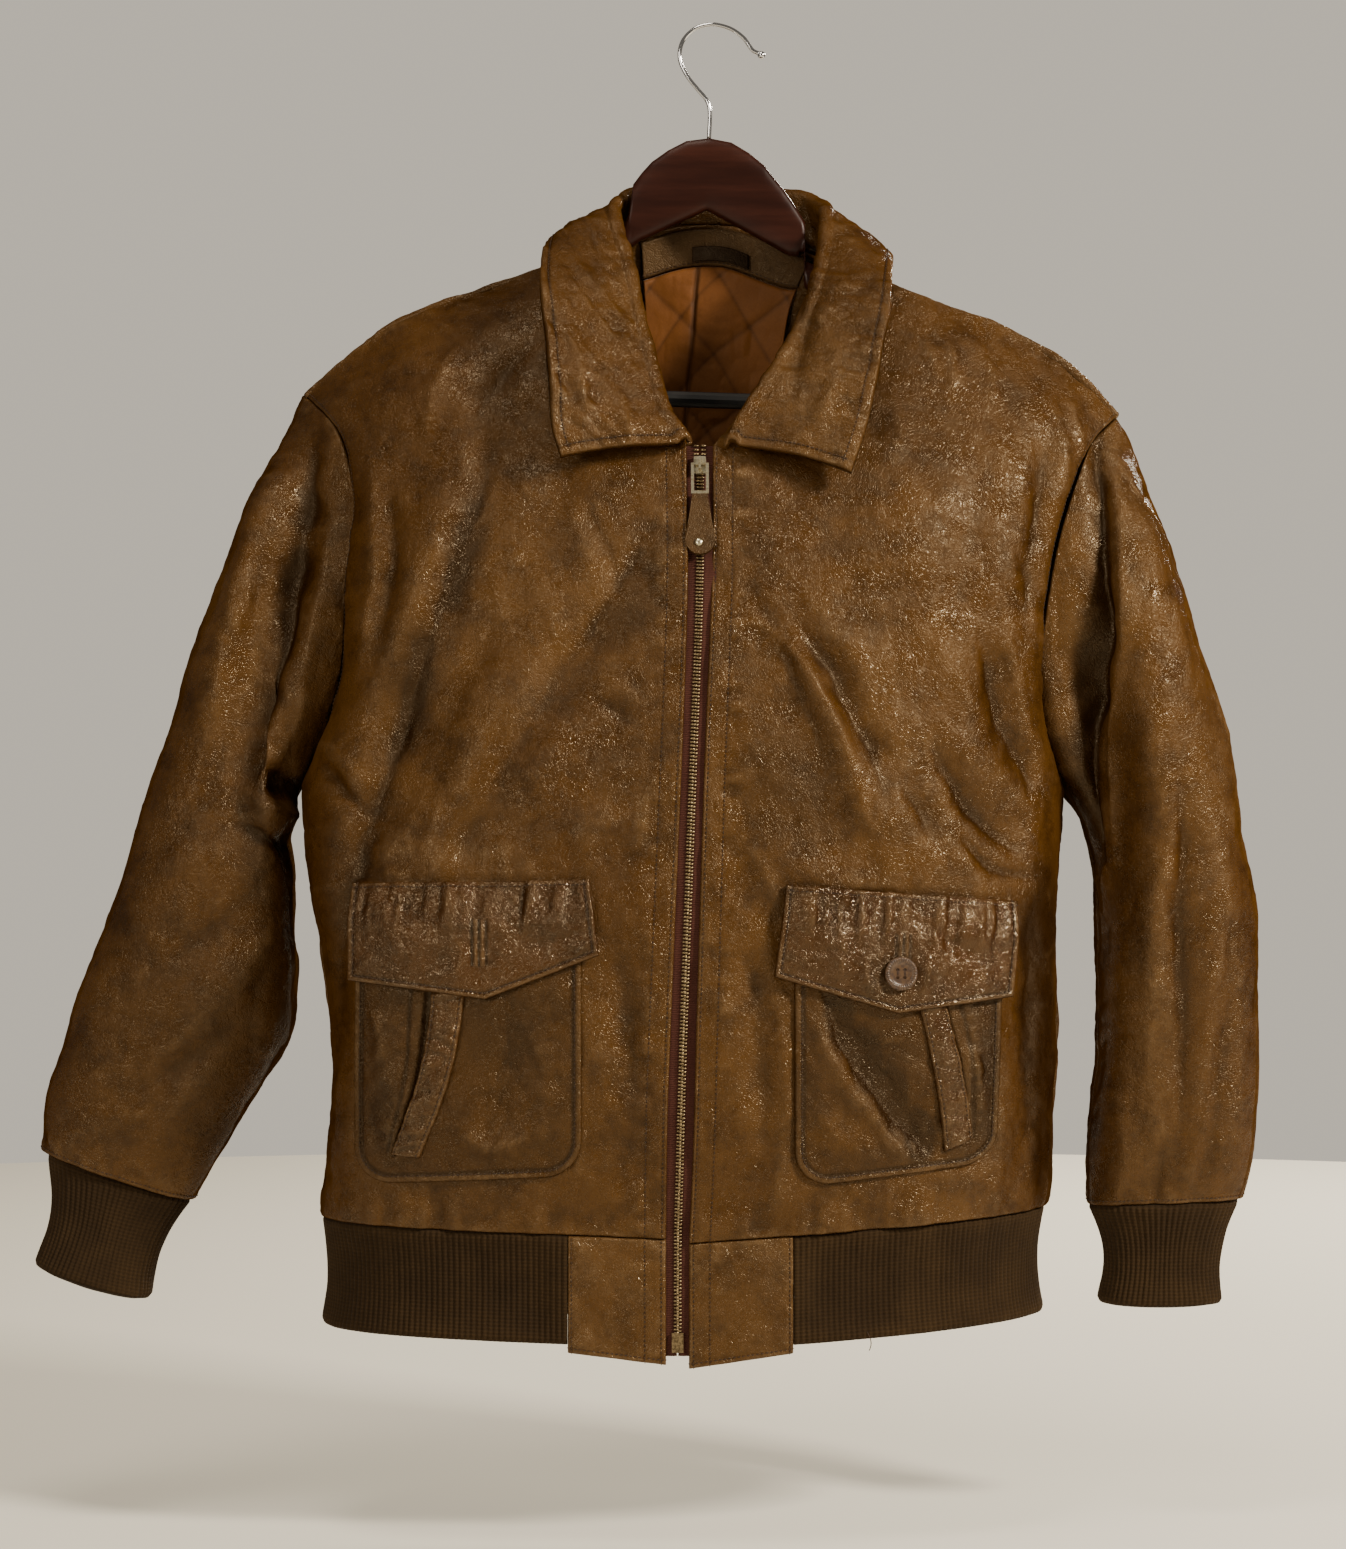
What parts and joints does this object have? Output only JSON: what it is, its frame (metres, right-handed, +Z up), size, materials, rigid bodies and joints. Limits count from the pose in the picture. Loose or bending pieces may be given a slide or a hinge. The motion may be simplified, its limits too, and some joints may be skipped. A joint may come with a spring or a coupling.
{
  "type": "leather jacket on wooden hanger",
  "caption": "Worn brown leather flight jacket, zipped, with knitted cuffs and waistband and flap pockets, hung on a wooden hanger with a wire hook.",
  "frame": {"origin": "the point inside the top of the wire hook where it bears on the rail", "axes": "+Z up, -Y out of the jacket's front, +X to the wearer's left"},
  "size_m": [0.7521, 0.1969, 0.8162],
  "materials": {
    "leather": "worn semi-gloss brown",
    "dark_leather": "satin near-black brown",
    "rib_knit": "matt ribbed wool",
    "lining": "quilted satin",
    "zip_tape": "matt woven",
    "brass": "antiqued",
    "nickel": "antiqued, worn",
    "button": "mottled, polished",
    "wood": "mahogany, satin varnish",
    "rubber": "matt sleeve",
    "chrome": "polished"
  },
  "bodies": {
    "jacket": {"back": "leather", "front_left": "leather", "front_right": "leather", "sleeve_left": "leather", "sleeve_right": "leather", "collar": "leather", "tab_left": "leather", "tab_right": "leather", "pocket_left": "leather", "pocket_right": "leather", "pocket_flap_left": "leather", "pocket_flap_right": "leather", "pocket_welt_left": "leather", "pocket_welt_right": "leather", "neck_facing": "dark_leather", "hang_loop": "dark_leather", "cuff_left": "rib_knit", "cuff_right": "rib_knit", "waistband": "rib_knit", "lining": "lining", "zip_tape_left": "zip_tape", "zip_tape_right": "zip_tape", "zip_box": "brass", "slider": "nickel", "button": "button", "hanger": "wood", "trouser_bar": "rubber", "hook": "chrome"},
    "zip_pull": {"zip_pull": "nickel", "pull_strap": "leather"}
  },
  "joints": [
    {"name": "zip_pull_swing", "type": "hinge", "parent": "jacket", "child": "zip_pull", "pos_m": [-0.012, -0.09002, -0.27773], "axis": [-1, -0.0011, -0.0038], "range_deg": [0, 120]}
  ]
}
